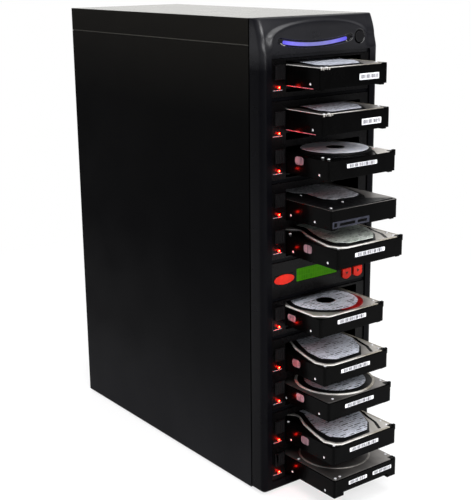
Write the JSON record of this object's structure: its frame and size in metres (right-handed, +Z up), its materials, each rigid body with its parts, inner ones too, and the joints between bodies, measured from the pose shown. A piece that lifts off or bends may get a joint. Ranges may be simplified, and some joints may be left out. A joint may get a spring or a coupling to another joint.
{
  "type": "hard drive duplicator",
  "caption": "Tower hard drive duplicator: stacked bays with pull-out drives and eject pulls, a screen with keys, a lit brow and a power button on the front.",
  "frame": {"origin": "middle of the bounding box's footprint, on the surface that the feet stand on", "axes": "+Z up, -Y out of the front where the drives come out, +X to the right seen from the front"},
  "size_m": [0.176, 0.5142, 0.571],
  "materials": {
    "case_paint": "satin black paint",
    "bezel_plastic": "dark blue-grey moulded plastic",
    "rack_plastic": "fine-grained black plastic",
    "pull_plastic": "semi-gloss black plastic",
    "frame_steel": "plain zinc-coated sheet",
    "light_lens": "translucent blue lens",
    "button_plastic": "smooth dark plastic",
    "key_plastic": "red moulded plastic",
    "screen": "green backlit screen",
    "lamp_lens": "red lamp lens",
    "circuit_board": "coated circuit board",
    "drive_casting": "black coated casting",
    "drive_cover": "satin metal cover",
    "supply_steel": "plain plated sheet",
    "fan_plastic": "black moulded plastic",
    "rocker_plastic": "glossy black plastic",
    "screw_steel": "black zinc-coated steel",
    "foot_rubber": "matt rubber"
  },
  "bodies": {
    "case": {"front_bezel": "bezel_plastic", "light_bar": "light_lens", "control_panel": "rack_plastic", "lcd_screen": "screen", "controller_board": "circuit_board", "backplane_boards": "circuit_board", "status_lights": "lamp_lens", "chassis_frame": "frame_steel", "left_side_panel": "case_paint", "right_side_panel": "case_paint", "top_cover": "case_paint", "rear_panel": "case_paint", "exhaust_fan_frame": "fan_plastic", "power_supply": "supply_steel", "case_screws": "screw_steel", "rubber_feet": "foot_rubber", "single_rack_1": "rack_plastic", "single_rack_6": "rack_plastic", "double_rack_2_3": "rack_plastic", "double_rack_4_5": "rack_plastic", "double_rack_7_8": "rack_plastic", "double_rack_9_10": "rack_plastic"},
    "power_button": {"power_button": "button_plastic"},
    "key_down": {"key_down": "key_plastic"},
    "key_enter": {"key_enter": "key_plastic"},
    "key_up": {"key_up": "key_plastic"},
    "key_escape": {"key_escape": "key_plastic"},
    "exhaust_fan_rotor": {"exhaust_fan_rotor": "fan_plastic"},
    "power_supply_fan": {"power_supply_fan": "fan_plastic"},
    "power_rocker": {"power_rocker": "rocker_plastic"},
    "drive_01": {"drive_01_body": "drive_casting", "drive_01_cover": "drive_cover"},
    "eject_pull_01": {"eject_pull_01": "pull_plastic"},
    "drive_02": {"drive_02_body": "drive_casting", "drive_02_cover": "drive_cover"},
    "eject_pull_02": {"eject_pull_02": "pull_plastic"},
    "drive_03": {"drive_03_body": "drive_casting", "drive_03_cover": "drive_cover"},
    "eject_pull_03": {"eject_pull_03": "pull_plastic"},
    "drive_04": {"drive_04_body": "drive_casting", "drive_04_cover": "drive_cover"},
    "eject_pull_04": {"eject_pull_04": "pull_plastic"},
    "drive_05": {"drive_05_body": "drive_casting", "drive_05_cover": "drive_cover"},
    "eject_pull_05": {"eject_pull_05": "pull_plastic"},
    "drive_06": {"drive_06_body": "drive_casting", "drive_06_cover": "drive_cover"},
    "eject_pull_06": {"eject_pull_06": "pull_plastic"},
    "drive_07": {"drive_07_body": "drive_casting", "drive_07_cover": "drive_cover"},
    "eject_pull_07": {"eject_pull_07": "pull_plastic"},
    "drive_08": {"drive_08_body": "drive_casting", "drive_08_cover": "drive_cover"},
    "eject_pull_08": {"eject_pull_08": "pull_plastic"},
    "drive_09": {"drive_09_body": "drive_casting", "drive_09_cover": "drive_cover"},
    "eject_pull_09": {"eject_pull_09": "pull_plastic"},
    "drive_10": {"drive_10_body": "drive_casting", "drive_10_cover": "drive_cover"},
    "eject_pull_10": {"eject_pull_10": "pull_plastic"}
  },
  "joints": [
    {"name": "drive_01_slide", "type": "slide", "parent": "case", "child": "drive_01", "axis": [0, -1, 0], "range_m": [-0.0548, 0.0732]},
    {"name": "drive_02_slide", "type": "slide", "parent": "case", "child": "drive_02", "axis": [0, -1, 0], "range_m": [-0.0598, 0.0682]},
    {"name": "drive_03_slide", "type": "slide", "parent": "case", "child": "drive_03", "axis": [0, -1, 0], "range_m": [-0.0713, 0.0567]},
    {"name": "drive_04_slide", "type": "slide", "parent": "case", "child": "drive_04", "axis": [0, -1, 0], "range_m": [-0.0718, 0.052]},
    {"name": "drive_05_slide", "type": "slide", "parent": "case", "child": "drive_05", "axis": [0, -1, 0], "range_m": [-0.087, 0.041]},
    {"name": "drive_06_slide", "type": "slide", "parent": "case", "child": "drive_06", "axis": [0, -1, 0], "range_m": [-0.0592, 0.0688]},
    {"name": "drive_07_slide", "type": "slide", "parent": "case", "child": "drive_07", "axis": [0, -1, 0], "range_m": [-0.0677, 0.0603]},
    {"name": "drive_08_slide", "type": "slide", "parent": "case", "child": "drive_08", "axis": [0, -1, 0], "range_m": [-0.0753, 0.0527]},
    {"name": "drive_09_slide", "type": "slide", "parent": "case", "child": "drive_09", "axis": [0, -1, 0], "range_m": [-0.0848, 0.0432]},
    {"name": "drive_10_slide", "type": "slide", "parent": "case", "child": "drive_10", "axis": [0, -1, 0], "range_m": [-0.0875, 0.0405]},
    {"name": "eject_pull_01_slide", "type": "slide", "parent": "case", "child": "eject_pull_01", "axis": [0, -1, 0], "range_m": [0, 0.01]},
    {"name": "eject_pull_02_slide", "type": "slide", "parent": "case", "child": "eject_pull_02", "axis": [0, -1, 0], "range_m": [0, 0.01]},
    {"name": "eject_pull_03_slide", "type": "slide", "parent": "case", "child": "eject_pull_03", "axis": [0, -1, 0], "range_m": [0, 0.01]},
    {"name": "eject_pull_04_slide", "type": "slide", "parent": "case", "child": "eject_pull_04", "axis": [0, -1, 0], "range_m": [0, 0.01]},
    {"name": "eject_pull_05_slide", "type": "slide", "parent": "case", "child": "eject_pull_05", "axis": [0, -1, 0], "range_m": [0, 0.01]},
    {"name": "eject_pull_06_slide", "type": "slide", "parent": "case", "child": "eject_pull_06", "axis": [0, -1, 0], "range_m": [0, 0.01]},
    {"name": "eject_pull_07_slide", "type": "slide", "parent": "case", "child": "eject_pull_07", "axis": [0, -1, 0], "range_m": [0, 0.01]},
    {"name": "eject_pull_08_slide", "type": "slide", "parent": "case", "child": "eject_pull_08", "axis": [0, -1, 0], "range_m": [0, 0.01]},
    {"name": "eject_pull_09_slide", "type": "slide", "parent": "case", "child": "eject_pull_09", "axis": [0, -1, 0], "range_m": [0, 0.01]},
    {"name": "eject_pull_10_slide", "type": "slide", "parent": "case", "child": "eject_pull_10", "axis": [0, -1, 0], "range_m": [0, 0.01]},
    {"name": "power_button_press", "type": "slide", "parent": "case", "child": "power_button", "axis": [0, 1, 0], "range_m": [0, 0.002], "stiffness_N_per_m": 400, "springref_m": -0.0005},
    {"name": "key_up_press", "type": "slide", "parent": "case", "child": "key_up", "axis": [0, 1, 0], "range_m": [0, 0.0012], "stiffness_N_per_m": 400, "springref_m": -0.0005},
    {"name": "key_down_press", "type": "slide", "parent": "case", "child": "key_down", "axis": [0, 1, 0], "range_m": [0, 0.0012], "stiffness_N_per_m": 400, "springref_m": -0.0005},
    {"name": "key_enter_press", "type": "slide", "parent": "case", "child": "key_enter", "axis": [0, 1, 0], "range_m": [0, 0.0012], "stiffness_N_per_m": 400, "springref_m": -0.0005},
    {"name": "key_escape_press", "type": "slide", "parent": "case", "child": "key_escape", "axis": [0, 1, 0], "range_m": [0, 0.0012], "stiffness_N_per_m": 400, "springref_m": -0.0005},
    {"name": "exhaust_fan_spin", "type": "hinge", "parent": "case", "child": "exhaust_fan_rotor", "pos_m": [0, 0.24185, 0.253], "axis": [0, 1, 0], "continuous": true},
    {"name": "power_supply_fan_spin", "type": "hinge", "parent": "case", "child": "power_supply_fan", "pos_m": [0.032, 0.25135, 0.522], "axis": [0, 1, 0], "continuous": true},
    {"name": "power_rocker_tilt", "type": "hinge", "parent": "case", "child": "power_rocker", "pos_m": [-0.048, 0.24935, 0.504], "axis": [-1, 0, 0], "range_deg": [0, 18]}
  ]
}
